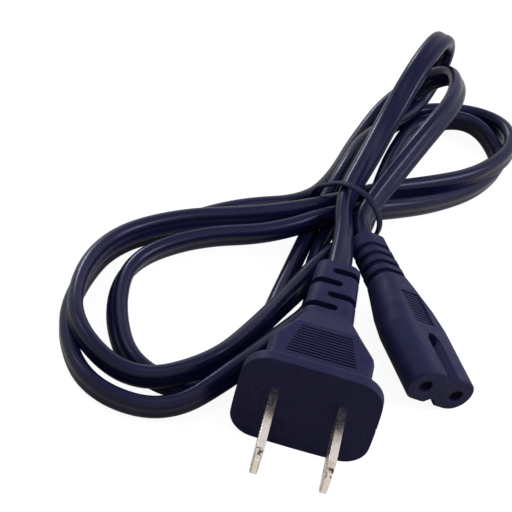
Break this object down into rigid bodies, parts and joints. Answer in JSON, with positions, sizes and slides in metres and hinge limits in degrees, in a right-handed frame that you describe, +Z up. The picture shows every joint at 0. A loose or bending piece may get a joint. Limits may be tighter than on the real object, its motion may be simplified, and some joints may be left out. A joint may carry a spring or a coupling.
{
  "type": "figure eight power lead",
  "caption": "Two-core power lead hanked in a figure eight, with a two-blade plug and a figure-eight connector.",
  "frame": {"origin": "centre of the plug's mating face", "axes": "-Y along the blades, +X to the right seen from behind the plug with +Z up"},
  "size_m": [0.086, 0.1432, 0.0273],
  "materials": {
    "moulded_black": "fine grain",
    "cord_black": "satin",
    "tie_black": "matt",
    "nickel": "polished plate",
    "brass": "plain",
    "bridge_white": "plain",
    "core_black": "satin",
    "core_white": "satin",
    "copper": "plain"
  },
  "bodies": {
    "root": {"plug_body": "moulded_black", "plug_bridge": "bridge_white", "plug_blade_left": "nickel", "plug_blade_right": "nickel", "plug_core_left": "core_black", "plug_core_right": "core_white", "plug_conductor_left": "copper", "plug_conductor_right": "copper", "cord": "cord_black", "tie": "tie_black", "connector_body": "moulded_black", "connector_carrier": "bridge_white", "connector_contact_left": "brass", "connector_contact_right": "brass", "connector_core_left": "core_black", "connector_core_right": "core_white", "connector_conductor_left": "copper", "connector_conductor_right": "copper"}
  },
  "joints": []
}
